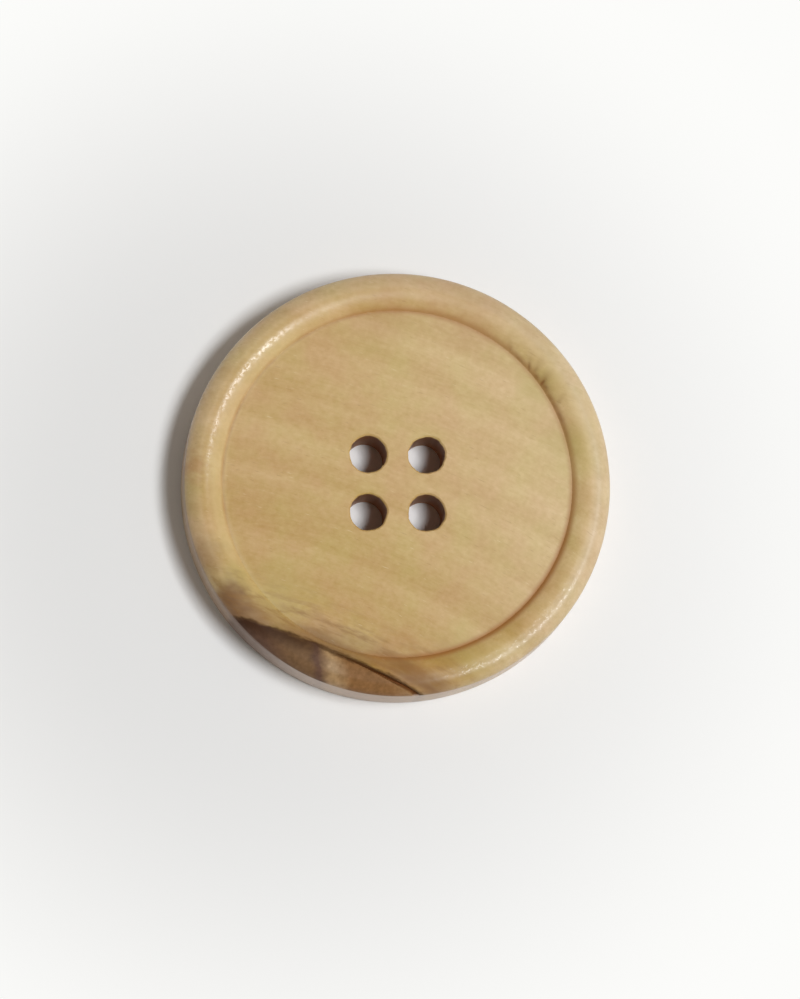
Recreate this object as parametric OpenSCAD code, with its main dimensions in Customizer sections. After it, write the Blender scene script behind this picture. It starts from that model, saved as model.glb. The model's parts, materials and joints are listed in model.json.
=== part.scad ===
// Turned wooden sew-through button: a raised rounded rim, a sunk flat face and four thread holes.
// Millimetres, +Z up. The origin is the centre of the flat back, and the face looks up.

/* [Blank] */
// Outside diameter of the button
button_d = 30; // [24:0.5:40]
// Thickness from the flat back to the crest of the rim
button_t = 4.5; // [4:0.1:6]
// Rounding of the edge between the back and the side
back_edge_r = 0.4; // [0.2:0.05:0.8]

/* [Rim] */
// Depth of the flat face below the crest of the rim
face_depth = 0.6; // [0.4:0.05:0.9]
// Radius of the round slope that rises from the face to the crest
slope_r = 1.95; // [1.5:0.05:2.5]
// Width of the flat land on the crest
land_w = 0.3; // [0.1:0.05:0.6]
// Radius of the round shoulder between the crest and the side
shoulder_r = 1; // [0.6:0.05:1.4]

/* [Thread holes] */
// Diameter of each thread hole
hole_d = 2.6; // [1.6:0.1:3]
// Distance between neighbouring holes, centre to centre
hole_pitch = 4.1; // [3.8:0.1:6]
// Width of the bevel at both ends of each hole
hole_bevel = 0.1; // [0.05:0.05:0.3]

/* [Grain check] */
// Direction from the axis to the closed end of the check, a natural split along a growth ring
check_angle = 248; // [0:1:359]
// How far the closed end lies inside the crest
check_reach = 0.9; // [0.3:0.05:1]
// Radius of the growth ring that the check follows
growth_ring_r = 58; // [30:1:120]
// Angle by which the check opens towards the outer edge
check_spread = 2.2; // [1:0.1:5]
// Depth of the check below the surface of the rim
check_depth = 0.3; // [0.1:0.05:0.35]

/* [Hidden] */
$fn = 96;
wood = "#c4a473";
button_r = button_d / 2;
face_t = button_t - face_depth;
// The slope, the land and the shoulder run into each other and into the side without a step
shoulder_centre_r = button_r - shoulder_r;
shoulder_centre_z = button_t - shoulder_r;
crest_r = shoulder_centre_r - land_w;
hole_r = hole_d / 2;
check_start_r = crest_r - check_reach;
// Spare length by which a cut runs past the surface that it leaves
overrun = 1;

// Half section under the rim's slope, land and shoulder, with its surface sunk by a depth
module rim_section(sunk = 0) {
    intersection() {
        translate([crest_r, button_t - slope_r])
            circle(r = slope_r - sunk);
        square([crest_r, button_t]);
    }
    translate([crest_r, 0])
        square([land_w, button_t - sunk]);
    translate([shoulder_centre_r, shoulder_centre_z])
        circle(r = shoulder_r - sunk);
}

// Half section of the blank, from the axis to the side wall
module blank_section() {
    square([crest_r, face_t]);
    square([button_r - back_edge_r, shoulder_centre_z]);
    translate([0, back_edge_r])
        square([button_r, shoulder_centre_z - back_edge_r]);
    translate([button_r - back_edge_r, back_edge_r])
        circle(r = back_edge_r);
    rim_section();
}

// One drilled hole with a bevel at the back and at the face, standing on the back's plane
module thread_hole() {
    translate([0, 0, -overrun])
        cylinder(r = hole_r, h = face_t + 2 * overrun);
    for (end = [0, 1])
        translate([0, 0, end * face_t])
            mirror([0, 0, end])
                translate([0, 0, -overrun])
                    cylinder(r1 = hole_r + hole_bevel + overrun, r2 = hole_r, h = hole_bevel + overrun);
}

// The four thread holes, on the corners of a square
module thread_holes() {
    for (x = [-1, 1], y = [-1, 1])
        translate([x * hole_pitch / 2, y * hole_pitch / 2, 0])
            thread_hole();
}

// Wedge between two growth rings that part at the closed end and open towards the outer edge
module growth_ring_wedge() {
    difference() {
        translate([growth_ring_r, 0, 0])
            cylinder(r = growth_ring_r, h = shoulder_r + overrun);
        rotate([0, 0, -check_spread])
            translate([growth_ring_r, 0, -overrun])
                cylinder(r = growth_ring_r, h = shoulder_r + 3 * overrun);
    }
}

// The check: the wedge, as deep all along as check_depth, because its floor follows the rim
module grain_check() {
    difference() {
        rotate([0, 0, check_angle])
            translate([check_start_r, 0, shoulder_centre_z])
                growth_ring_wedge();
        rotate_extrude()
            rim_section(check_depth);
    }
}

module button() {
    color(wood)
        difference() {
            rotate_extrude()
                blank_section();
            thread_holes();
            grain_check();
        }
}

button();
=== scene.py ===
"""Turned wooden sew-through button on a pale floor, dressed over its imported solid.

The button is one piece of pale wood: a sunk flat face, a raised rounded rim and four drilled thread
holes. A dark streak of bark lies in the rim, and a natural check opens along it.
"""
import json
import math
from functools import partial
from types import SimpleNamespace

import bmesh
import bpy
import numpy as np
from bpy.props import FloatProperty, FloatVectorProperty, IntProperty, PointerProperty
from mathutils import Matrix, Vector, noise


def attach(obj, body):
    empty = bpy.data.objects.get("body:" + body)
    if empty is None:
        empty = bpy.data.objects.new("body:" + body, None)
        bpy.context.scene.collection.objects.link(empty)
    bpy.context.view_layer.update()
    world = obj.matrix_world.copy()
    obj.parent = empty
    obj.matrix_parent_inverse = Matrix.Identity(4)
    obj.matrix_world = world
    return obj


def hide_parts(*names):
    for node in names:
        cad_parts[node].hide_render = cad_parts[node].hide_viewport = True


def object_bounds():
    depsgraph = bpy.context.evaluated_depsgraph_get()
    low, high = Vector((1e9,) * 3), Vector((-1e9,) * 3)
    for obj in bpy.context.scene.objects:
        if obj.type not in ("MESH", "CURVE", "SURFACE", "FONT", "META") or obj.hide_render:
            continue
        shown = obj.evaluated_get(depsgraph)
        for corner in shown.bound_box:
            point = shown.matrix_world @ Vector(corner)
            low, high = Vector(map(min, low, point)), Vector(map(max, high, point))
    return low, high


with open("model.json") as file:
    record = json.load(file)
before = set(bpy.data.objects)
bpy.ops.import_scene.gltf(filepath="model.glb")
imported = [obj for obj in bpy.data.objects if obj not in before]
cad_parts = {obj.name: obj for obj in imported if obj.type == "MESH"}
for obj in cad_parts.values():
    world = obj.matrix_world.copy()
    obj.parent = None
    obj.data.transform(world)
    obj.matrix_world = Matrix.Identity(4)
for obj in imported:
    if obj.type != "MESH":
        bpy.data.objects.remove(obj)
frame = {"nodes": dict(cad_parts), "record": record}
CAD_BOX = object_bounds()

bl_info = {
    "name": "Turned Wooden Button",
    "version": (1, 0, 0),
    "blender": (4, 5, 0),
    "location": "View3D > Sidebar > Button",
    "description": "Builds a turned wooden four-hole button and the stage that it lies on",
    "category": "Object",
}

NODE = "button"
BODY = "root"
MM = 0.001
PER_MM = 1000.0
QUARTER = math.pi / 2
# A corner point of the solid counts as on a surface when it lies as near to it as this
ON_SURFACE = 0.0005 * MM


def linear(hex_colour):
    """Linear RGB of an sRGB hex colour such as #C4A673."""
    channels = [int(hex_colour[i:i + 2], 16) / 255 for i in (1, 3, 5)]
    return tuple(c / 12.92 if c <= 0.04045 else ((c + 0.055) / 1.055) ** 2.4 for c in channels)


# Sizes of the solid


def solid_sizes():
    """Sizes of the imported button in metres, from its corner points and from its mounts."""
    points = np.array([v.co for v in frame["nodes"][NODE].data.vertices])
    radius = np.hypot(points[:, 0], points[:, 1])
    height = points[:, 2]
    on_wall = height[radius > radius.max() - ON_SURFACE]
    on_crest = radius[height > height.max() - ON_SURFACE]
    face_t = height[radius < radius.max() / 2].max()
    drop = height.max() - face_t
    slope_run = on_crest.min() - radius[abs(height - face_t) < ON_SURFACE].max()
    bores = [m for m in frame["record"]["mounts"] if m["kind"] == "bore"]
    wall_length = bores[0]["dims"]["length_mm"] * MM
    return {
        "diameter": 2 * radius.max(),
        "thickness": height.max(),
        "shoulder_radius": height.max() - on_wall.max(),
        "land_width": on_crest.max() - on_crest.min(),
        "slope_radius": (slope_run ** 2 + drop ** 2) / (2 * drop),
        "face_thickness": face_t,
        "back_edge_radius": on_wall.min(),
        "hole_diameter": 2 * bores[0]["dims"]["r_mm"] * MM,
        "hole_pitch": 2 * abs(bores[0]["pos_m"][0]),
        "hole_bevel": (face_t - wall_length) / 2,
    }


SOLID = solid_sizes()


def length(name, description, default):
    """A length property in metres."""
    return FloatProperty(name=name, description=description, default=default, unit="LENGTH", precision=5)


def colour(name, description, hex_colour):
    """A colour property, given as sRGB hex and kept linear."""
    return FloatVectorProperty(
        name=name,
        description=description,
        default=linear(hex_colour),
        size=3,
        subtype="COLOR",
        min=0,
        max=1,
    )


class ButtonSizes(bpy.types.PropertyGroup):
    """Sizes of the turned blank and its holes, taken from the solid"""

    diameter: length("Diameter", "Outside diameter of the button", SOLID["diameter"])
    thickness: length("Thickness", "From the back to the crest of the rim", SOLID["thickness"])
    slope_radius: length("Slope radius", "Round slope from the face up to the crest", SOLID["slope_radius"])
    land_width: length("Land", "Width of the flat land on the crest", SOLID["land_width"])
    shoulder_radius: length("Shoulder", "Rounding from the crest to the side", SOLID["shoulder_radius"])
    face_thickness: length("Face thickness", "From the back to the sunk face", SOLID["face_thickness"])
    back_edge_radius: length("Back edge", "Rounding from the back to the side", SOLID["back_edge_radius"])
    hole_diameter: length("Hole diameter", "Diameter of each thread hole", SOLID["hole_diameter"])
    hole_pitch: length("Hole pitch", "Distance between neighbouring holes", SOLID["hole_pitch"])
    hole_bevel: length("Hole bevel", "Width of the bevel at the ends of each hole", SOLID["hole_bevel"])
    side_points: IntProperty(
        name="Points per side",
        description="Mesh points along each side of a hole's cell",
        default=128,
        min=8,
    )


class GrainCheck(bpy.types.PropertyGroup):
    """The natural split along a growth ring, as in the solid"""

    direction: FloatProperty(
        name="Direction", description="From the axis to the closed end of the check",
        default=math.radians(248), subtype="ANGLE", unit="ROTATION",
    )
    reach: length("Reach", "How far the closed end lies inside the crest", 0.9 * MM)
    ring_radius: length("Growth ring", "Radius of the growth ring that the check follows", 58 * MM)
    spread: FloatProperty(
        name="Spread", description="Angle by which the check opens towards the outer edge",
        default=math.radians(2.2), subtype="ANGLE", unit="ROTATION",
    )
    depth: length("Depth", "Depth of the check below the rim", 0.3 * MM)


class WoodColours(bpy.types.PropertyGroup):
    """Colours of the varnished wood and of the bark streak"""

    wood: colour("Wood", "Middle tone of the wood", "#C2A065")
    paler_side: colour("Paler side", "Paler and less yellow wood towards one side", "#CEB27F")
    olive: colour("Olive tint", "Greenish patches under the varnish", "#B7A25F")
    # Also used as painted shade at the foot of the rim's slope
    rust_and_shade: colour("Rust tint", "Reddish varnish in the groove and on the edge", "#A06A33")
    pore: colour("Pores", "Open pores along the grain", "#8F6A3C")
    # Also used as a painted highlight on the rim's slope where it faces the lamps
    fleck: colour("Flecks", "Pale flecks along the grain", "#DCC79A")
    # The side's greyish tone is partly bare wood and partly a painted sheen of the pale table
    side: colour("Sanded side", "Bare greyish wood on the side wall", "#CDBBAD")
    drilled: colour("Drilled wall", "Bare brown wood inside the holes", "#9A6638")
    torn: colour("Torn wood", "Raw wood in the check and the chips", "#784A25")
    bark: colour("Bark", "Darkest bark", "#38200F")
    # Also used as painted shade on the side wall away from the lamps
    bark_dark_and_side_shade: colour("Dark bark", "Dark brown part of the streak", "#664C3D")
    bark_brown: colour("Brown bark", "Brown part of the streak", "#75593E")
    bark_warm: colour("Warm bark", "Reddish brown part of the streak", "#86603A")
    bark_tan: colour("Tan bark", "Bands of paler wood in the streak", "#A3835A")
    stain: colour("Stain", "Brown stain beside the bark", "#7C5B40")


class StageSettings(bpy.types.PropertyGroup):
    """Floor and light"""

    floor: colour("Floor", "Matt pale table top", "#EDEDEC")
    far_floor: colour("Far floor", "White that the table top fades to", "#FCFCFA")
    lamp_power: FloatProperty(
        name="Lamps", description="Power of the lamps together", default=1.245, unit="POWER", precision=3
    )
    lamp_colour: colour("Lamp colour", "Tint of the lamps", "#F9FCFF")
    wall_colour: colour("Wall colour", "Tint of the light from the room", "#FFF4E8")
    walls: FloatProperty(name="Walls", description="Light from low down, on the lamps' side", default=1.42)
    ceiling: FloatProperty(name="Ceiling", description="Light from high overhead", default=0.18)


class ButtonSettings(bpy.types.PropertyGroup):
    """All that a user would change"""

    sizes: PointerProperty(type=ButtonSizes)
    check: PointerProperty(type=GrainCheck)
    colours: PointerProperty(type=WoodColours)
    stage: PointerProperty(type=StageSettings)


# Mesh of the button

# Rings of mesh along each stretch of the surface
FACE_RINGS = 4
SLOPE_RINGS = 24
LAND_RINGS = 4
SHOULDER_RINGS = 24
EDGE_RINGS = 5
BACK_RINGS = 2
CELL_RINGS = 4
HOLE_RINGS = 6

# Chips torn from the rim's inner slope: angle round the axis in degrees, rise above the groove,
# half width and half length in millimetres, lean, and how deep and dark it is, as a share
CHIPS = (
    (51.0, 0.30, 0.25, 0.35, -0.6, 0.30),
    (46.0, 0.12, 1.00, 0.18, 0.0, 0.40),
    (42.3, 0.25, 0.17, 0.35, -0.8, 0.55),
    (40.2, 0.50, 0.20, 0.50, -0.2, 0.32),
    (38.5, 0.14, 0.55, 0.22, 0.0, 0.50),
    (35.6, 0.36, 0.22, 0.42, -0.3, 0.80),
    (34.2, 0.22, 0.42, 0.28, 0.0, 0.65),
    (28.5, 0.14, 1.20, 0.18, 0.0, 0.50),
    (27.8, 0.60, 0.20, 0.42, -0.2, 0.30),
    (23.5, 0.16, 0.90, 0.18, 0.0, 0.45),
    (18.0, 0.14, 0.80, 0.16, 0.0, 0.30),
)
CHIP_DEPTH = 0.07 * MM
# A chip's ragged edge: waves for each millimetre, height as a share, and how far out it reaches. Distances
# are squared, and 1 at the chip's own outline
CHIP_EDGE_PER_MM = 2.3
CHIP_RAG = 0.5
CHIP_REACH = 1.4
# Brown smear round a chip: its share, and the squared distance at which most of it is gone
CHIP_SMEAR = 0.6
CHIP_SMEAR_REACH = 3
# Rise above the groove at which chips and smears reach their full share
CHIP_RUN_IN = 0.25 * MM
SMEAR_RUN_IN = 0.08 * MM
# Soft lip along the check's sides, and lengths over which it deepens from its closed end and from the side
CHECK_LIP = 0.05 * MM
CHECK_RUN_IN = 0.5 * MM
CHECK_RUN_OUT = 0.3 * MM
# Tool and sanding waves left on the rim
RIM_WAVE = 0.012 * MM
RIM_WAVE_PER_MM = 0.35
# Fibre ends lifted at the hole edges, with a finer ripple that has a share of their height, and the share
# of both that the wall takes under the edge
HOLE_RAG = 0.08 * MM
HOLE_RAG_PER_MM = 1.7
FINE_RAG = 0.5
FINE_RAG_PER_MM = 2.6 * HOLE_RAG_PER_MM
WALL_RAG = 0.7
# Share of a hole's depth, under its edge at the face, over which the colour of the drilled wall sets in
DRILLED_EDGE = 1 / 30
# Edges that bend by more than this stay crisp
CRISP_ANGLE = math.radians(22)
# Points nearer to each other than this are joined
JOIN_DISTANCE = 0.002 * MM


def ring_angles(count):
    """Even angles round a closed ring."""
    return np.arange(count) * 2 * math.pi / count


def circle(radius, angles):
    """Points of a circle."""
    return radius * np.stack([np.cos(angles), np.sin(angles)], axis=-1)


def square(half, angles):
    """Points of a square, evenly spaced along its sides, in step with even angles."""
    side = np.floor(angles / QUARTER + 0.5) * QUARTER
    along = half * (angles - side) / (QUARTER / 2)
    x = half * np.cos(side) - along * np.sin(side)
    y = half * np.sin(side) + along * np.cos(side)
    return np.stack([x, y], axis=-1)


def at_height(outline, z):
    """The outline's points with a height."""
    return np.column_stack([outline, np.full(len(outline), z)])


def shares(count):
    """Even shares from 0 to 1, both included."""
    return np.linspace(0, 1, count + 1)


def between(first, last, count, z):
    """Rings from one outline to another in a plane."""
    return [at_height(first + (last - first) * share, z) for share in shares(count)]


def ripple(points, per_mm, seed):
    """Smooth noise from -1 to 1 at each point, with a number of waves for each millimetre."""
    scaled = np.asarray(points) * PER_MM * per_mm + seed
    return np.array([noise.noise(Vector(p)) for p in scaled])


def hole_rings(sizes, centre):
    """Rings of one hole's cell, from the square on the back through the hole to the square on the face.

    The second result tells how far each ring is inside the hole, from 0 to 1.
    """
    angles = ring_angles(4 * sizes.side_points)
    radius = sizes.hole_diameter / 2
    cell = square(sizes.hole_pitch / 2, angles)
    bore = circle(radius, angles)
    top = sizes.face_thickness
    bevel = sizes.hole_bevel
    mouth = circle(radius + bevel, angles)
    edge = at_height(bore + centre, top)
    rag = ripple(edge, HOLE_RAG_PER_MM, seed=3.7) + FINE_RAG * ripple(edge, FINE_RAG_PER_MM, seed=8.1)
    lift = (rag * HOLE_RAG)[:, None] * circle(1, angles)
    rings = between(cell, mouth, CELL_RINGS // 2, 0)
    inside = [0] * len(rings)
    for share in 1 - (1 - shares(HOLE_RINGS)) ** 2:
        rings.append(at_height(bore + WALL_RAG * lift * share ** 4, bevel + (top - 2 * bevel) * share))
        inside.append(min((1 - share) / DRILLED_EDGE, 1))
    rings += between(mouth + lift, cell, CELL_RINGS, top)
    inside += [0] * (CELL_RINGS + 1)
    return np.array([ring + [*centre, 0] for ring in rings]), inside


def crest_radius(sizes):
    """Radius at which the inner slope reaches the crest."""
    return sizes.diameter / 2 - sizes.shoulder_radius - sizes.land_width


def rim_section(sizes):
    """Radius, height and outward normal of each ring from the groove over the crest to the back."""
    outer = sizes.diameter / 2
    top = sizes.thickness
    groove = QUARTER + math.acos(1 - (top - sizes.face_thickness) / sizes.slope_radius)
    slope_turns = groove + (QUARTER - groove) * shares(SLOPE_RINGS)
    shoulder_turns = QUARTER * (1 - shares(SHOULDER_RINGS))
    wall_top = top - sizes.shoulder_radius
    edge_r = sizes.back_edge_radius
    edge_turns = -QUARTER * shares(EDGE_RINGS)
    arcs = (
        (crest_radius(sizes), top - sizes.slope_radius, sizes.slope_radius, slope_turns),
        (outer - sizes.shoulder_radius, wall_top, sizes.shoulder_radius, shoulder_turns),
        (outer - edge_r, edge_r, edge_r, edge_turns),
    )
    section = []
    for centre_r, centre_z, arc_r, turns in arcs:
        for turn in turns:
            normal = (math.cos(turn), math.sin(turn))
            section.append((centre_r + arc_r * normal[0], centre_z + arc_r * normal[1], *normal))
    land = [(crest_radius(sizes) + sizes.land_width * share, top, 0.0, 1.0) for share in shares(LAND_RINGS)]
    section[len(slope_turns):len(slope_turns)] = land[1:-1]
    return section


def check_start(sizes, check):
    """Closed end of the check and the unit vectors outward and along the growth ring there."""
    outward = np.array([math.cos(check.direction), math.sin(check.direction)])
    start = outward * (crest_radius(sizes) - check.reach)
    return start, outward, np.array([-outward[1], outward[0]])


def check_cut(sizes, check, points):
    start, outward, along = check_start(sizes, check)
    offset = points[:, :2] - start
    inside = []
    for turn in (0, -check.spread):
        towards_pith = outward * math.cos(turn) + along * math.sin(turn)
        pith = towards_pith * check.ring_radius
        inside.append(check.ring_radius - np.hypot(*(offset - pith).T))
    open_part = np.clip(inside[0] / CHECK_LIP, 0, 1) * np.clip(1 - inside[1] / CHECK_LIP, 0, 1)
    past_start = np.clip(offset @ along / CHECK_RUN_IN, 0, 1)
    wall_top = sizes.thickness - sizes.shoulder_radius
    above = np.clip((points[:, 2] - wall_top) / CHECK_RUN_OUT, 0, 1)
    return open_part * past_start * above


def chip_cut(sizes, angles, rise, ring):
    """Shares of torn depth and of brown smear along one ring of the slope, so high above the groove."""
    depth = np.zeros(len(angles))
    smear = np.zeros(len(angles))
    crest = crest_radius(sizes)
    ragged = CHIP_RAG * ripple(ring, CHIP_EDGE_PER_MM, seed=5.9)
    for angle, middle, half_width, half_length, lean, tone in CHIPS:
        up = rise - middle * MM
        across = (angles - math.radians(angle)) * crest + lean * up
        distance = (across / (half_width * MM)) ** 2 + (up / (half_length * MM)) ** 2
        torn = np.clip(1 - distance + ragged * (distance < CHIP_REACH), 0, 1)
        depth = np.maximum(depth, tone * torn)
        smear = np.maximum(smear, tone * CHIP_SMEAR * np.exp(-distance / CHIP_SMEAR_REACH))
    smear = np.maximum(depth, smear)
    return depth * min(rise / CHIP_RUN_IN, 1), smear * min(rise / SMEAR_RUN_IN, 1)


def rim_rings(sizes, check):
    """Rings from the square round the holes over the face, rim and side to the back.

    The second result is the share of torn and smeared wood at each point.
    """
    angles = ring_angles(8 * sizes.side_points)
    block = square(sizes.hole_pitch, angles)
    section = rim_section(sizes)
    groove_turn = math.atan2(section[0][3], section[0][2])
    uncut = np.zeros(len(angles))
    rings = between(block, circle(section[0][0], angles), FACE_RINGS, sizes.face_thickness)[:-1]
    cuts = [uncut] * len(rings)
    for radius, z, out, up in section:
        ring = at_height(circle(radius, angles), z)
        normal = np.column_stack([circle(out, angles), np.full(len(angles), up)])
        height = ripple(ring, RIM_WAVE_PER_MM, seed=11.3) * RIM_WAVE * (z > sizes.back_edge_radius)
        check_share = check_cut(sizes, check, ring) if up > 0 else uncut
        rise = (groove_turn - math.atan2(up, out)) * sizes.slope_radius
        chip_share, smear = chip_cut(sizes, angles, rise, ring) if out < 0 else (uncut, uncut)
        height -= check_share * check.depth + chip_share * CHIP_DEPTH
        rings.append(ring + normal * height[:, None])
        cuts.append(np.maximum(check_share, smear))
    back = circle(section[-1][0], angles)
    rings += between(back, block, BACK_RINGS, 0)[1:]
    cuts += [uncut] * BACK_RINGS
    return np.array(rings), cuts


def add_loft(shell, rings, layer, values):
    """Adds closed rings to a bmesh, joins each to the next with quads, and keeps a value at each point."""
    rows = []
    for ring, value in zip(rings, values):
        row = [shell.verts.new(point) for point in ring]
        for vert, kept in zip(row, np.broadcast_to(value, len(row))):
            vert[layer] = kept
        rows.append(row)
    for lower, upper in zip(rows, rows[1:]):
        for i in range(len(lower)):
            shell.faces.new((lower[i - 1], lower[i], upper[i], upper[i - 1]))


def button_mesh(settings):
    """The whole button as one closed mesh, with the shares of cut and drilled surface at its points."""
    sizes = settings.sizes
    shell = bmesh.new()
    cut = shell.verts.layers.float.new("cut")
    drilled = shell.verts.layers.float.new("drilled")
    rings, cuts = rim_rings(sizes, settings.check)
    add_loft(shell, rings, cut, cuts)
    half = sizes.hole_pitch / 2
    for x in (-half, half):
        for y in (-half, half):
            rings, inside = hole_rings(sizes, (x, y))
            add_loft(shell, rings, drilled, inside)
    bmesh.ops.remove_doubles(shell, verts=shell.verts, dist=JOIN_DISTANCE)
    bmesh.ops.recalc_face_normals(shell, faces=shell.faces)
    for edge in shell.edges:
        edge.smooth = edge.calc_face_angle(0) < CRISP_ANGLE
    for face in shell.faces:
        face.smooth = True
    made = bpy.data.meshes.new("turned_button")
    shell.to_mesh(made)
    shell.free()
    return made


# Materials


def add(tree, kind, inputs=None, out=0, stops=(), **settings):
    """Adds a shader node with settings, ramp stops and linked or filled inputs; returns an output."""
    made = tree.nodes.new("ShaderNode" + kind)
    for name, value in settings.items():
        setattr(made, name, value)
    for place, (position, tone) in enumerate(stops):
        elements = made.color_ramp.elements
        element = elements[place] if place < len(elements) else elements.new(1)
        element.position = (position - stops[0][0]) / (stops[-1][0] - stops[0][0])
        element.color = (*tone, 1)
    for key, value in (inputs or {}).items():
        if isinstance(value, bpy.types.NodeSocket):
            tree.links.new(value, made.inputs[key])
        else:
            made.inputs[key].default_value = value
    return made.outputs[out] if made.outputs else made


def new_material(name):
    """An empty node material and its tree."""
    material = bpy.data.materials.new(name)
    material.use_nodes = True
    material.node_tree.nodes.clear()
    return material, material.node_tree


# Places of the Mix node's colour inputs, and its settings for mixing colours
MIX_A = 6
MIX_B = 7
MIX = {"data_type": "RGBA", "out": 2}
# Setting of the Map Range node that softens both ends of its range
SMOOTH = {"interpolation_type": "SMOOTHSTEP"}
# Middle of a noise, and the range in which most of its values lie
NOISE_MIDDLE = 0.5
NOISE_RANGE = {"From Min": 0.3, "From Max": 0.7}

# Growth rings across the button, in millimetres: distance of each ring's dark edge from the check's ring,
# the width of an edge, and how far it sways. One edge is a strong one
RING_EDGES = (-3.2, 2.4, 6.4, 10.7, 14.0, 16.5, 19.9, 23.2, 26.5)
RING_EDGE_WIDTH = 0.9
RING_SWAY = 1.2
STRONG_EDGE = 6.4
# Tone halfway through a ring, and the step in tone at an edge
RING_TONE = 0.52
RING_STEP = 0.45
STRONG_STEP = 0.85
# Shares of the rings, streaks, fibres and specks in the wood's tone
RING_SHARE = 0.22
STREAK_SHARE = 0.28
FIBRE_SHARE = 0.18
SPECK_SHARE = 0.32
# Length and width in millimetres of the marks that follow the grain. Fibres and pores are drawn some
# five times as coarse as they grow, so that they show
SWAY = (14.0, 3.0)
STREAK = (12.0, 1.4)
FIBRE = (0.9, 0.18)
PORE = (0.9, 0.12)
MOTTLE = (1.6, 0.8)
FLECK = (2.0, 0.36)
# Size in millimetres of the specks in the wood and in the bark
SPECK = 0.42
# Size in millimetres of the clouds of pinker and greener wood
CLOUD = 2.6
# Height of the fibres under the varnish
FIBRE_HEIGHT = 0.015 * MM
# Size in millimetres of the ripples in the varnish, and their height
PEEL = 0.3
PEEL_HEIGHT = 0.04 * MM
# Soft changes across the button: direction, where each starts and ends along it in millimetres, and its
# share at the start and at the end
CHANGES = {
    # Paler and less yellow towards the lamps' side
    "paler_side": ((0.94, 0.34, 0), -5, 14, 0, 0.85),
    # Painted highlight on the rim's slope where it faces the lamps
    "painted lit slope": ((-0.98, 0.17, 0), 4, 11, 0, 0.34),
    # Reddish varnish with painted shade at the foot of the slope
    "groove varnish and shade": ((1, 0, 0), -8, 4, 0, 0.5),
    "deep groove varnish and shade": ((0.6, -0.8, 0), 4, 12, 0, 0.4),
    "far side": ((-0.77, 0.64, 0), 3, 9, 0, 1),
    # Painted shade on the side wall away from the lamps
    "painted side shade": ((-0.94, -0.34, 0), 10, 13.6, 0, 0.7),
    "worn varnish": ((-0.64, -0.77, 0), -5, -1, 0.12, 1),
    "sunk varnish": ((-0.64, -0.77, 0), 7, 10, 1, 0.12),
}
# How much higher the sanded side reaches where its painted shade is darkest, and its soft edge, in
# millimetres
SIDE_RISE = 0.4
SIDE_EDGE = 0.15
# A line of brown pores along one growth ring, in millimetres: its way in from the bark, how far it sways,
# and its middle, half length and soft ends along the grain
PORE_RING = 1.8
PORE_RING_SWAY = 0.6
PORE_RING_MIDDLE = -0.7
PORE_RING_HALF = 4.2
PORE_RING_END = 1
# Bands of the bark streak: place along it in millimetres, and colour
BARK_BANDS = (
    (-8.0, "bark_dark_and_side_shade"),
    (-5.6, "bark_dark_and_side_shade"),
    (-3.2, "bark_brown"),
    (-1.6, "bark_brown"),
    (-1.0, "bark_dark_and_side_shade"),
    (-0.7, "bark_dark_and_side_shade"),
    (0.4, "bark_tan"),
    (0.8, "bark_tan"),
    (2.3, "bark_warm"),
    (6.4, "bark_warm"),
    (10.0, "bark_tan"),
)
# How the bands lean, and in millimetres how far they sway, how far the streak's edge sways and frays, and
# where the dark line lies across the grain once those two are added
BAND_LEAN = 0.75
BAND_SWAY = 1.2
BARK_SWAY = 0.45
BARK_FRAY = 0.3
BARK_LINE = 0.36
# Stains and tints of this piece of wood: place and radius in millimetres, share, and colour
PATCHES = (
    (-11.4, -6.8, 1.8, 0.6, "olive"),
    (-8.6, -7.7, 3.0, 0.4, "olive"),
    (12.0, 3.3, 2.7, 0.5, "olive"),
    (10.0, 7.2, 2.6, 0.5, "olive"),
    (4.6, -12.8, 3.2, 0.5, "olive"),
    (-14.3, 1.0, 1.6, 0.5, "rust_and_shade"),
    (0.8, -14.0, 2.2, 0.4, "rust_and_shade"),
    (-0.4, -12.4, 3.0, 0.45, "rust_and_shade"),
    (-1.0, 12.7, 4.0, 0.3, "rust_and_shade"),
    (3.4, 13.0, 3.6, 0.25, "rust_and_shade"),
    (6.1, 11.4, 3.8, 0.25, "rust_and_shade"),
    (9.9, 10.2, 3.0, 0.2, "rust_and_shade"),
    (3.0, -13.9, 3.4, 0.45, "rust_and_shade"),
    (13.8, 5.2, 2.6, 0.25, "fleck"),
    (-13.6, -5.4, 2.4, 0.3, "stain"),
    (-11.8, -8.4, 2.3, 0.9, "stain"),
    (-10.2, -9.4, 1.9, 0.4, "stain"),
)
# How uneven a patch's edge is, and the radius of its full middle, in millimetres
PATCH_RAG = 2.0
PATCH_MIDDLE = 0.2


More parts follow.
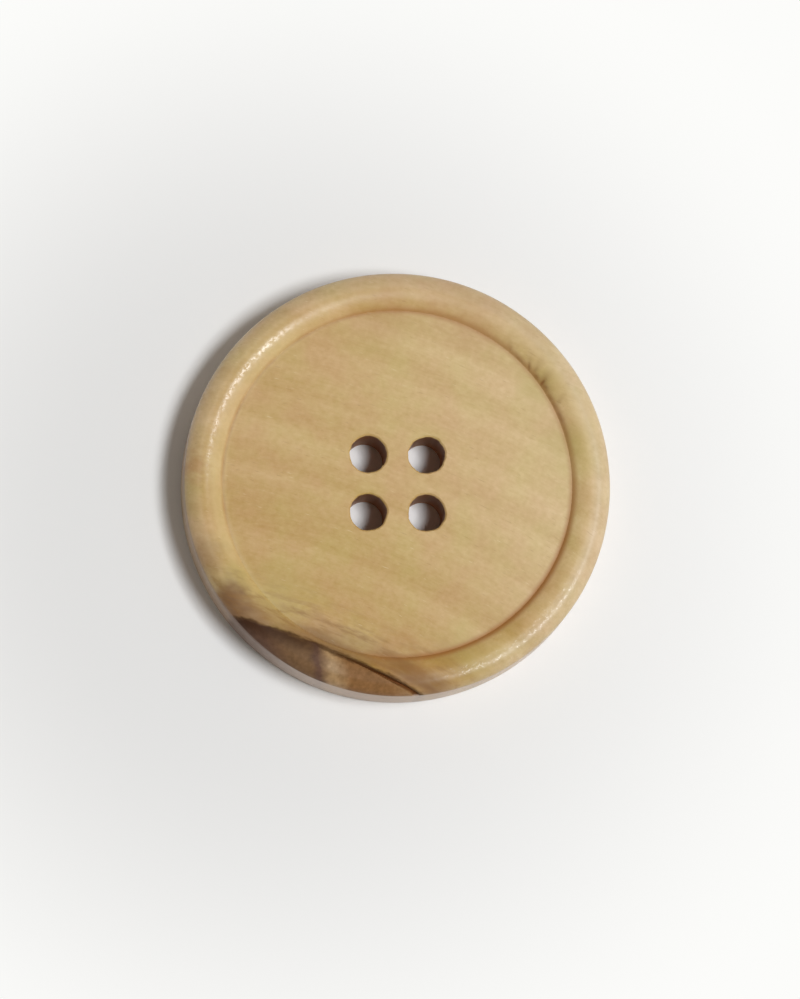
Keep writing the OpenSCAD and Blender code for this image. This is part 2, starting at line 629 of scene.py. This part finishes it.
def grain_coordinates(tree, settings):
    """Place in millimetres, the same along the grain, across it from the check's ring and up, and those."""
    start, outward, _ = check_start(settings.sizes, settings.check)
    pith = (start + outward * settings.check.ring_radius) * PER_MM
    node = partial(add, tree)
    place_mm = node("VectorMath", {0: node("TexCoord", out="Object"), "Scale": PER_MM}, operation="SCALE")
    from_pith = node("VectorMath", {0: place_mm, 1: (*pith, 0)}, operation="SUBTRACT")
    flat = node("VectorMath", {0: from_pith, 1: (1, 1, 0)}, operation="MULTIPLY")
    ring_radius = node("VectorMath", {0: flat}, out="Value", operation="LENGTH")
    across = node("Math", {0: ring_radius, 1: settings.check.ring_radius * PER_MM}, operation="SUBTRACT")
    x, y, up = (node("SeparateXYZ", {0: from_pith}, out=axis) for axis in "XYZ")
    turn = node("Math", {0: y, 1: x}, operation="ARCTAN2")
    back_turn = node("Math", {0: math.atan2(-pith[1], -pith[0]), 1: turn}, operation="SUBTRACT")
    along = node("Math", {0: back_turn, 1: float(np.hypot(*pith))}, operation="MULTIPLY")
    grain = node("CombineXYZ", {0: along, 1: across, 2: up})
    return place_mm, grain, along, across, up


def grain_noise(tree, grain, size, detail, seed):
    """Noise drawn out along the grain, with features of that length and width in millimetres."""
    scale = (1 / size[0], 1 / size[1], 1 / size[1])
    node = partial(add, tree)
    moved = node("VectorMath", {0: grain, 1: scale, 2: (seed, seed, seed)}, operation="MULTIPLY_ADD")
    return node("TexNoise", {"Vector": moved, "Scale": 1, "Detail": detail, "Roughness": 0.55})


def change(tree, place_mm, name):
    """Share of one of the soft changes across the button."""
    direction, start, end, first, last = CHANGES[name]
    node = partial(add, tree)
    reach = node("VectorMath", {0: place_mm, 1: direction}, out="Value", operation="DOT_PRODUCT")
    ends = {"From Min": start, "From Max": end, "To Min": first, "To Max": last}
    return node("MapRange", {"Value": reach, **ends}, **SMOOTH)


def growth_rings(tree, grain, across):
    """Tone of the growth rings: each grows paler towards its edge and then starts dark again."""
    node = partial(add, tree)
    sway = grain_noise(tree, grain, SWAY, detail=1, seed=5.1)
    swayed = node("Math", {0: sway, 1: RING_SWAY, 2: across}, operation="MULTIPLY_ADD")
    stops = []
    for edge in RING_EDGES:
        step = STRONG_STEP if edge == STRONG_EDGE else RING_STEP
        middle = edge + RING_SWAY * NOISE_MIDDLE
        stops.append((middle - RING_EDGE_WIDTH / 2, (RING_TONE + step / 2,) * 3))
        stops.append((middle + RING_EDGE_WIDTH / 2, (RING_TONE - step / 2,) * 3))
    share = node("MapRange", {"Value": swayed, "From Min": stops[0][0], "From Max": stops[-1][0]})
    return node("ValToRGB", {0: share}, stops=stops)


def wood_marks(tree, settings):
    """Places on the button and patterns in its wood that several layers of the material share.

    The foot is 0 on the face and 1 from the groove outwards. The tone runs from dark to pale.
    """
    node = partial(add, tree)
    place_mm, grain, along, across, up = grain_coordinates(tree, settings)
    flat_place = node("VectorMath", {0: place_mm, 1: (1, 1, 0)}, operation="MULTIPLY")
    from_axis = node("VectorMath", {0: flat_place}, out="Value", operation="LENGTH")
    groove_radius = rim_section(settings.sizes)[0][0] * PER_MM
    from_groove = node("Math", {0: from_axis, 1: groove_radius}, operation="SUBTRACT")
    streaks = grain_noise(tree, grain, STREAK, detail=2, seed=1.3)
    fibres = grain_noise(tree, grain, FIBRE, detail=2, seed=8.2)
    speck = node("TexNoise", {"Vector": place_mm, "Scale": 1 / SPECK, "Detail": 3, "Roughness": 0.6})
    tone = node("Math", {0: growth_rings(tree, grain, across), 1: RING_SHARE}, operation="MULTIPLY")
    for layer, share in ((streaks, STREAK_SHARE), (fibres, FIBRE_SHARE), (speck, SPECK_SHARE)):
        tone = node("Math", {0: layer, 1: share, 2: tone}, operation="MULTIPLY_ADD")
    pores = grain_noise(tree, grain, PORE, detail=1, seed=2.6)
    open_pores = {"Value": pores, "From Min": 0.66, "From Max": 0.82, "To Max": 0.3}
    return SimpleNamespace(
        place_mm=place_mm,
        grain=grain,
        along=along,
        across=across,
        up=up,
        from_groove=from_groove,
        foot=node("MapRange", {"Value": from_groove, "From Min": -0.4, "From Max": 0.05}, **SMOOTH),
        far_side=change(tree, place_mm, "far side"),
        streaks=streaks,
        fibres=fibres,
        mottle=grain_noise(tree, grain, MOTTLE, detail=2, seed=7.7),
        speck=speck,
        tone=tone,
        pores=pores,
        open_pores=node("MapRange", open_pores, **SMOOTH),
    )


def grown_wood(tree, settings, marks):
    """Colour of the wood as it grew, with its rings, fibres, pores and pale flecks."""
    colours = settings.colours
    node = partial(add, tree)

    # Paler and less yellow wood towards one side, the side of the lamps
    paler_share = change(tree, marks.place_mm, "paler_side")
    wood = node("Mix", {0: paler_share, MIX_A: (*colours.wood, 1), MIX_B: (*colours.paler_side, 1)}, **MIX)

    # Darker and yellower wood towards the bark
    low = node("MapRange", {"Value": marks.across, "From Min": 15, "From Max": 1}, **SMOOTH)
    low_value = node("MapRange", {"Value": low, "To Min": 1, "To Max": 0.9})
    low_chroma = node("MapRange", {"Value": low, "To Min": 1, "To Max": 1.08})
    wood = node("HueSaturation", {"Color": wood, "Value": low_value, "Saturation": low_chroma})

    # The tone, and clouds of pinker and greener wood
    value = node("MapRange", {"Value": marks.tone, **NOISE_RANGE, "To Min": 0.84, "To Max": 1.16})
    chroma = node("MapRange", {"Value": marks.tone, **NOISE_RANGE, "To Min": 1.1, "To Max": 0.9})
    cloud = node("TexNoise", {"Vector": marks.place_mm, "Scale": 1 / CLOUD, "Detail": 2, "Roughness": 0.5})
    hue = node("MapRange", {"Value": cloud, **NOISE_RANGE, "To Min": 0.493, "To Max": 0.511})
    wood = node("HueSaturation", {"Color": wood, "Hue": hue, "Value": value, "Saturation": chroma})

    # Pores and pale flecks
    wood = node("Mix", {0: marks.open_pores, MIX_A: wood, MIX_B: (*colours.pore, 1)}, **MIX)
    fleck = {"Value": marks.pores, "From Min": 0.3, "From Max": 0.18, "To Max": 0.5}
    fleck = node("MapRange", fleck, **SMOOTH)
    return node("Mix", {0: fleck, MIX_A: wood, MIX_B: (*colours.fleck, 1)}, **MIX)


def painted_lit_slope_and_rubbed_rim(tree, settings, marks, wood):
    """Wood of the rim: a painted highlight on one side's slope, and less yellow on the shoulder, which is
    handled most.

    The painted highlight lies on the slope across from the lamps, where the slope faces them, and hides the
    foot of the rim there.
    """
    node = partial(add, tree)
    # Painted highlight: the slope is mixed towards the pale fleck colour where it faces the lamps
    slope = node("MapRange", {"Value": marks.from_groove, "From Min": 1.1, "From Max": 0.6}, **SMOOTH)
    for share in (change(tree, marks.place_mm, "painted lit slope"), marks.foot):
        slope = node("Math", {0: slope, 1: share}, operation="MULTIPLY")
    wood = node("Mix", {0: slope, MIX_A: wood, MIX_B: (*settings.colours.fleck, 1)}, **MIX)
    rubbed = {"Value": marks.from_groove, "From Min": 1.2, "From Max": 2.1, "To Min": 1, "To Max": 0.84}
    rubbed = node("MapRange", rubbed, **SMOOTH)
    return node("HueSaturation", {"Color": wood, "Saturation": rubbed})


def tinted_patches(tree, settings, marks, wood):
    """Stains and tints with soft, uneven edges."""
    node = partial(add, tree)
    inward = PATCH_RAG * NOISE_MIDDLE
    for x, y, radius, share, name in PATCHES:
        centre = (x, y, settings.sizes.thickness * PER_MM)
        apart = node("VectorMath", {0: marks.place_mm, 1: centre}, out="Value", operation="DISTANCE")
        uneven = node("Math", {0: marks.mottle, 1: -PATCH_RAG, 2: apart}, operation="MULTIPLY_ADD")
        fade = {"From Min": radius - inward, "From Max": PATCH_MIDDLE - inward, "To Max": share}
        patch = node("MapRange", {"Value": uneven, **fade}, **SMOOTH)
        tint = getattr(settings.colours, name)
        wood = node("Mix", {0: patch, MIX_A: wood, MIX_B: (*tint, 1)}, **MIX)
    return wood


def groove_varnish_and_shade(tree, settings, marks, wood):
    """Reddish varnish and painted shade at the foot of the slope: broad where the slope faces away from the
    lamps, and a thin dark line in the groove on the side across from the lamps.
    """
    node = partial(add, tree)
    # Painted shade with reddish varnish: strongest at the groove where the slope faces away from the lamps
    pool, deep_varnish_and_shade = (change(tree, marks.place_mm, name) for name in ("groove varnish and shade", "deep groove varnish and shade"))
    pool = node("Math", {0: pool, 1: deep_varnish_and_shade}, operation="ADD")
    groove = node("MapRange", {"Value": marks.from_groove, "From Min": 0.5, "From Max": 0.05}, **SMOOTH)
    for share in (marks.foot, pool):
        groove = node("Math", {0: groove, 1: share}, operation="MULTIPLY")
    # Painted shade: a thin dark line in the groove's crease
    line = node("Math", {0: marks.from_groove}, operation="ABSOLUTE")
    line = node("MapRange", {"Value": line, "From Min": 0.24, "From Max": 0.02}, **SMOOTH)
    uneven = node("MapRange", {"Value": marks.streaks, **NOISE_RANGE, "To Min": 0.15, "To Max": 0.5})
    for share in (marks.far_side, uneven):
        line = node("Math", {0: line, 1: share}, operation="MULTIPLY")
    for share in (groove, line):
        wood = node("Mix", {0: share, MIX_A: wood, MIX_B: (*settings.colours.rust_and_shade, 1)}, **MIX)
    return wood


def pore_line(tree, marks):
    """Share of a thin broken line of pores along one growth ring."""
    node = partial(add, tree)
    middle = PORE_RING + PORE_RING_SWAY * NOISE_MIDDLE
    line = node("Math", {0: marks.mottle, 1: PORE_RING_SWAY, 2: marks.across}, operation="MULTIPLY_ADD")
    line = node("Math", {0: line, 1: middle}, operation="SUBTRACT")
    line = node("Math", {0: line}, operation="ABSOLUTE")
    line = node("MapRange", {"Value": line, "From Min": 0.4, "From Max": 0.05, "To Max": 0.65}, **SMOOTH)
    from_middle = node("Math", {0: marks.along, 1: PORE_RING_MIDDLE}, operation="SUBTRACT")
    from_middle = node("Math", {0: from_middle}, operation="ABSOLUTE")
    outer = PORE_RING_HALF + PORE_RING_END
    inner = PORE_RING_HALF - PORE_RING_END
    ends = {"Value": from_middle, "From Min": outer, "From Max": inner}
    broken = {"Value": marks.fibres, "From Min": 0.35, "From Max": 0.6, "To Min": 0.4}
    for span in (ends, broken):
        line = node("Math", {0: line, 1: node("MapRange", span, **SMOOTH)}, operation="MULTIPLY")
    return line


def bark_stain(tree, settings, marks, wood):
    """Brown stain in the wood beside the bark, with brown flecks and a line of pores in it."""
    colours = settings.colours
    node = partial(add, tree)
    near = {"Value": marks.across, "From Min": 3.2, "From Max": 0, "To Max": 1.2}
    near = node("MapRange", near, **SMOOTH)
    halo = node("Math", {0: near, 1: marks.streaks}, operation="MULTIPLY")
    halo = node("MapRange", {"Value": halo, "From Min": 0.15, "From Max": 0.8, "To Max": 0.8}, **SMOOTH)
    stronger = {"Value": marks.along, "From Min": -6, "From Max": 2, "To Min": 0.75, "To Max": 1.2}
    stronger = node("MapRange", stronger, **SMOOTH)
    halo = node("Math", {0: halo, 1: stronger}, operation="MULTIPLY")
    wood = node("Mix", {0: halo, MIX_A: wood, MIX_B: (*colours.stain, 1)}, **MIX)
    flecks = grain_noise(tree, marks.grain, FLECK, detail=2, seed=3.9)
    flecks = {"Value": flecks, "From Min": 0.47, "From Max": 0.72, "To Max": 0.5}
    flecks = node("MapRange", flecks, **SMOOTH)
    beside = node("MapRange", {"Value": marks.across, "From Min": 4.5, "From Max": 1}, **SMOOTH)
    flecks = node("Math", {0: flecks, 1: beside}, operation="MULTIPLY")
    flecks = node("Math", {0: flecks, 1: pore_line(tree, marks)}, operation="MAXIMUM")
    return node("Mix", {0: flecks, MIX_A: wood, MIX_B: (*colours.pore, 1)}, **MIX)


def bark_streak(tree, settings, marks, wood):
    """Bark beyond the check's ring, in slanting bands along its length, with a dark line on its edge."""
    colours = settings.colours
    node = partial(add, tree)
    slant = node("Math", {0: marks.across, 1: BAND_LEAN, 2: marks.along}, operation="MULTIPLY_ADD")
    slant = node("Math", {0: marks.mottle, 1: BAND_SWAY, 2: slant}, operation="MULTIPLY_ADD")
    stops = [(place, getattr(colours, name)) for place, name in BARK_BANDS]
    share = node("MapRange", {"Value": slant, "From Min": stops[0][0], "From Max": stops[-1][0]})
    bark = node("ValToRGB", {0: share}, stops=stops)
    patchy = node("MapRange", {"Value": marks.speck, **NOISE_RANGE, "To Min": 0.82, "To Max": 1.18})
    bark = node("HueSaturation", {"Color": bark, "Value": patchy})
    edge = marks.across
    for layer, reach in ((marks.mottle, BARK_SWAY), (marks.fibres, BARK_FRAY)):
        edge = node("Math", {0: layer, 1: reach, 2: edge}, operation="MULTIPLY_ADD")
    in_bark = node("MapRange", {"Value": edge, "From Min": 0.52, "From Max": 0.25}, **SMOOTH)
    wood = node("Mix", {0: in_bark, MIX_A: wood, MIX_B: bark}, **MIX)

    # The dark line is broad and soft at the streak's tip and narrow along the check
    broad = {"Value": marks.across, "From Min": -1.3, "From Max": -0.1, "To Max": 0.8}
    broad = node("MapRange", broad, **SMOOTH)
    tip = node("MapRange", {"Value": marks.along, "From Min": 0.5, "From Max": -3}, **SMOOTH)
    for share in (in_bark, tip):
        broad = node("Math", {0: broad, 1: share}, operation="MULTIPLY")
    line = node("Math", {0: edge, 1: BARK_LINE}, operation="SUBTRACT")
    line = node("Math", {0: line}, operation="ABSOLUTE")
    line = node("MapRange", {"Value": line, "From Min": 0.28, "From Max": 0.04, "To Max": 0.7}, **SMOOTH)
    line = node("Math", {0: line, 1: broad}, operation="MAXIMUM")
    return node("Mix", {0: line, MIX_A: wood, MIX_B: (*colours.bark, 1)}, **MIX)


def bare_wood(tree, settings, marks, wood):
    """Wood without varnish: the sanded side, torn and split places, and the walls of the holes. The side's
    grey is partly a painted sheen of the pale table, and it holds painted shade on the side away from the
    lamps.
    """
    colours = settings.colours
    node = partial(add, tree)
    wall_top = (settings.sizes.thickness - settings.sizes.shoulder_radius) * PER_MM
    # Painted shade: away from the lamps the side wall is mixed towards the dark bark colour and reaches
    # higher
    painted_side_shade = change(tree, marks.place_mm, "painted side shade")
    height = node("Math", {0: painted_side_shade, 1: -SIDE_RISE, 2: marks.up}, operation="MULTIPLY_ADD")
    side = {"Value": height, "From Min": wall_top + SIDE_EDGE, "From Max": wall_top, "To Max": 0.65}
    side = node("MapRange", side, **SMOOTH)
    sanded = {0: painted_side_shade, MIX_A: (*colours.side, 1), MIX_B: (*colours.bark_dark_and_side_shade, 1)}
    sanded = node("Mix", sanded, **MIX)
    rough_tone = node("MapRange", {"Value": marks.tone, **NOISE_RANGE, "To Min": 0.8, "To Max": 1.16})
    sanded = node("HueSaturation", {"Color": sanded, "Value": rough_tone})
    wood = node("Mix", {0: side, MIX_A: wood, MIX_B: sanded}, **MIX)
    for layer, bare in (("cut", colours.torn), ("drilled", colours.drilled)):
        share = node("Attribute", out="Fac", attribute_name=layer)
        wood = node("Mix", {0: share, MIX_A: wood, MIX_B: (*bare, 1)}, **MIX)
    return wood


def varnish(tree, marks, wood):
    """Shader of the wood under its varnish, which is rippled on the rim and smoother on its far side.

    The varnish is thin over fibres that stand a little proud, patchy where the sanding cut through it, and
    sunk into the dark wood.
    """
    node = partial(add, tree)
    relief = node("Math", {0: marks.open_pores, 1: -1.5, 2: marks.fibres}, operation="MULTIPLY_ADD")
    fibre_bump = node("Bump", {"Strength": 0.4, "Distance": FIBRE_HEIGHT, "Height": relief})
    peel = node("TexNoise", {"Vector": marks.place_mm, "Scale": 1 / PEEL, "Detail": 2, "Roughness": 0.6})
    on_rim = {"Value": marks.from_groove, "From Min": 0, "From Max": 0.5, "To Min": 0.15}
    on_rim = node("MapRange", on_rim, **SMOOTH)
    rippled = node("MapRange", {"Value": marks.far_side, "To Min": 1, "To Max": 0.3})
    rippled = node("Math", {0: on_rim, 1: rippled}, operation="MULTIPLY")
    peel_bump = {"Strength": rippled, "Distance": PEEL_HEIGHT, "Height": peel, "Normal": fibre_bump}
    peel_bump = node("Bump", peel_bump)

    # A patchy film, a little more whole on the far side
    film = node("Math", {0: marks.far_side, 1: 0.06, 2: peel}, operation="MULTIPLY_ADD")
    coat = node("MapRange", {"Value": film, "From Min": 0.44, "From Max": 0.64, "To Max": 0.85}, **SMOOTH)
    build = node("MapRange", {"Value": marks.far_side, "To Min": 0.6, "To Max": 0.72})
    worn, sunk = (change(tree, marks.place_mm, name) for name in ("worn varnish", "sunk varnish"))
    pale = node("RGBToBW", {0: wood})
    pale = node("MapRange", {"Value": pale, "From Min": 0.1, "From Max": 0.32}, **SMOOTH)
    for share in (worn, sunk, pale, on_rim, build):
        coat = node("Math", {0: coat, 1: share}, operation="MULTIPLY")
    gloss = node("MapRange", {"Value": pale, "To Min": 0.06, "To Max": 0.44})
    return node(
        "BsdfPrincipled",
        {
            "Base Color": wood,
            "Roughness": 0.45,
            "IOR": 1.5,
            "Specular IOR Level": gloss,
            "Coat Weight": coat,
            "Coat Roughness": 0.24,
            "Coat IOR": 1.5,
            "Normal": fibre_bump,
            "Coat Normal": peel_bump,
        },
    )


def varnished_wood(settings):
    """Pale close-grained wood, turned, sanded and given a thin satin varnish.

    The eye sees soft growth rings and fine fibres under a clear skin, with broken highlights on the rim.
    """
    material, tree = new_material("varnished_pale_wood")
    marks = wood_marks(tree, settings)
    wood = grown_wood(tree, settings, marks)
    for layer in (painted_lit_slope_and_rubbed_rim, tinted_patches, groove_varnish_and_shade, bark_stain, bark_streak, bare_wood):
        wood = layer(tree, settings, marks, wood)
    add(tree, "OutputMaterial", {"Surface": varnish(tree, marks, wood)})
    return material


def matt_table(settings):
    """White-painted table top, rolled and matt, which shows soft shadows and no reflections.

    Away from the button it fades to an even white.
    """
    material, tree = new_material("matt_white_paint")
    node = partial(add, tree)
    place = node("TexCoord", out="Object")
    distance = node("VectorMath", {0: place, 1: (*FADE_CENTRE, 0)}, out="Value", operation="DISTANCE")
    far = node("MapRange", {"Value": distance, "From Min": FADE_START, "From Max": FADE_END}, **SMOOTH)
    seen = node("LightPath", out="Is Camera Ray")
    for ray in ("Is Glossy Ray", "Is Transmission Ray"):
        seen = node("Math", {0: seen, 1: node("LightPath", out=ray)}, operation="MAXIMUM")
    share = node("Math", {0: far, 1: seen}, operation="MULTIPLY")
    paint = node("BsdfPrincipled", {"Base Color": (*settings.stage.floor, 1), "Roughness": 0.9})
    white = node("Emission", {"Color": (*settings.stage.far_floor, 1), "Strength": 1})
    node("OutputMaterial", {"Surface": node("MixShader", {0: share, 1: paint, 2: white})})
    return material


# Stage

# Camera: tilt from straight above, and the way it leans, as an angle from +X towards +Y
CAMERA_TILT = math.radians(10.5)
CAMERA_LEAN = math.radians(241)
CAMERA_DISTANCE = 0.5
CAMERA_LENS = 255.5
# The picture's size and where the centre of the button's back falls in it, in pixels
IMAGE_SIZE = (800, 999)
BACK_CENTRE_PIXEL = (392.7, 492.3)
# Lamps, the key and a small second one beside it: name, azimuth, share of the power, and size across and up
LAMPS = (
    ("key", math.radians(-21), 0.86, (0.13, 0.11)),
    ("second", math.radians(8), 0.14, (0.055, 0.055)),
)
LAMP_ELEVATION = math.radians(70)
LAMP_DISTANCE = 0.4
# Light from the room: the heights, as shares of straight up, where the walls end and the ceiling begins,
# and the light of the walls opposite the lamps as a share of the others
WALLS_END = 0.1
CEILING_START = 0.45
OPPOSITE_WALLS = 0.5
# Floor: its size, and where it fades to white
FLOOR_SIZE = 6.0
FADE_CENTRE = (-6.5 * MM, -3 * MM)
FADE_START = 15 * MM
FADE_END = 45 * MM


def towards(azimuth, elevation):
    """Unit vector with that azimuth from +X and elevation above the floor."""
    flat = math.cos(elevation)
    return Vector((flat * math.cos(azimuth), flat * math.sin(azimuth), math.sin(elevation)))


def facing(direction, up_hint):
    """Rotation whose +Z points along direction, with the hint's side upwards."""
    back = direction.normalized()
    up = (up_hint - back * up_hint.dot(back)).normalized()
    return Matrix((up.cross(back), up, back)).transposed()


def put(name, data, location, rotation=None):
    """Links a new object to the scene at a place."""
    made = bpy.data.objects.new(name, data)
    bpy.context.scene.collection.objects.link(made)
    matrix = rotation.to_4x4() if rotation else Matrix.Identity(4)
    matrix.translation = location
    made.matrix_world = matrix
    return made


def add_camera():
    """Camera at the picture's angle, moved sideways so that the button falls at its place in the frame."""
    back = towards(CAMERA_LEAN, QUARTER - CAMERA_TILT)
    rotation = facing(back, Vector((0, 1, 0)))
    data = bpy.data.cameras.new("camera")
    data.lens = CAMERA_LENS
    pixel = CAMERA_DISTANCE * data.sensor_width / (CAMERA_LENS * max(IMAGE_SIZE))
    right = (IMAGE_SIZE[0] / 2 - BACK_CENTRE_PIXEL[0]) * pixel
    down = (IMAGE_SIZE[1] / 2 - BACK_CENTRE_PIXEL[1]) * pixel
    location = back * CAMERA_DISTANCE + rotation @ Vector((right, -down, 0))
    bpy.context.scene.camera = put("camera", data, location, rotation)


def add_lights(stage):
    """Two soft lamps from the right, pale walls that are dimmer opposite them, and a dim ceiling."""
    for name, azimuth, share, size in LAMPS:
        data = bpy.data.lights.new(name, "AREA")
        data.shape = "ELLIPSE"
        data.size, data.size_y = size
        data.energy = stage.lamp_power * share
        data.color = stage.lamp_colour
        direction = towards(azimuth, LAMP_ELEVATION)
        put(name, data, direction * LAMP_DISTANCE, facing(direction, Vector((0, 0, 1))))
    world = bpy.data.worlds.new("studio")
    world.use_nodes = True
    tree = world.node_tree
    tree.nodes.clear()
    node = partial(add, tree)
    direction = node("TexCoord", out="Generated")
    height = node("SeparateXYZ", {0: direction}, out="Z")
    east = node("SeparateXYZ", {0: direction}, out="X")
    walls = {"Value": east, "From Min": -1, "To Min": OPPOSITE_WALLS * stage.walls, "To Max": stage.walls}
    walls = node("MapRange", walls)
    room = {"From Min": WALLS_END, "From Max": CEILING_START, "To Min": walls, "To Max": stage.ceiling}
    strength = node("MapRange", {"Value": height, **room}, **SMOOTH)
    light = node("Background", {"Color": (*stage.wall_colour, 1), "Strength": strength})
    node("OutputWorld", {"Surface": light})
    bpy.context.scene.world = world


def add_floor(settings):
    """The table top, at the height of the button's back."""
    floor = bpy.data.meshes.new("floor")
    plane = bmesh.new()
    bmesh.ops.create_grid(plane, x_segments=1, y_segments=1, size=FLOOR_SIZE / 2)
    plane.to_mesh(floor)
    plane.free()
    floor.materials.append(matt_table(settings))
    put("floor", floor, Vector((0, 0, CAD_BOX[0].z)))


# Operators, panel and registration


class BUTTON_OT_turn(bpy.types.Operator):
    """Builds the turned wooden button in place of its plain solid"""

    bl_idname = "button.turn"
    bl_label = "Turn Button"

    def execute(self, context):
        settings = context.scene.wooden_button
        piece = put("turned_button", button_mesh(settings), Vector((0, 0, 0)))
        piece.data.materials.append(varnished_wood(settings))
        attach(piece, BODY)
        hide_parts(NODE)
        return {"FINISHED"}


class BUTTON_OT_stage(bpy.types.Operator):
    """Adds the floor, the light and the camera"""

    bl_idname = "button.stage"
    bl_label = "Set Stage"

    def execute(self, context):
        settings = context.scene.wooden_button
        context.scene.view_settings.view_transform = "Standard"
        add_floor(settings)
        add_lights(settings.stage)
        add_camera()
        return {"FINISHED"}


class BUTTON_PT_panel(bpy.types.Panel):
    """Sizes, colours and the steps that build the button"""

    bl_label = "Turned Wooden Button"
    bl_idname = "BUTTON_PT_panel"
    bl_space_type = "VIEW_3D"
    bl_region_type = "UI"
    bl_category = "Button"

    def draw(self, context):
        settings = context.scene.wooden_button
        for group in (settings.sizes, settings.check, settings.colours, settings.stage):
            box = self.layout.box()
            for name in group.__annotations__:
                box.prop(group, name)
        self.layout.operator(BUTTON_OT_turn.bl_idname)
        self.layout.operator(BUTTON_OT_stage.bl_idname)


CLASSES = (
    ButtonSizes,
    GrainCheck,
    WoodColours,
    StageSettings,
    ButtonSettings,
    BUTTON_OT_turn,
    BUTTON_OT_stage,
    BUTTON_PT_panel,
)


def register():
    """Registers the classes and hangs the settings on the scene."""
    for cls in CLASSES:
        bpy.utils.register_class(cls)
    bpy.types.Scene.wooden_button = PointerProperty(type=ButtonSettings)


def unregister():
    """Takes back what register did."""
    del bpy.types.Scene.wooden_button
    for cls in reversed(CLASSES):
        bpy.utils.unregister_class(cls)


def main():
    """Builds the button and its stage."""
    register()
    bpy.ops.button.turn()
    bpy.ops.button.stage()


if __name__ == "__main__":
    main()
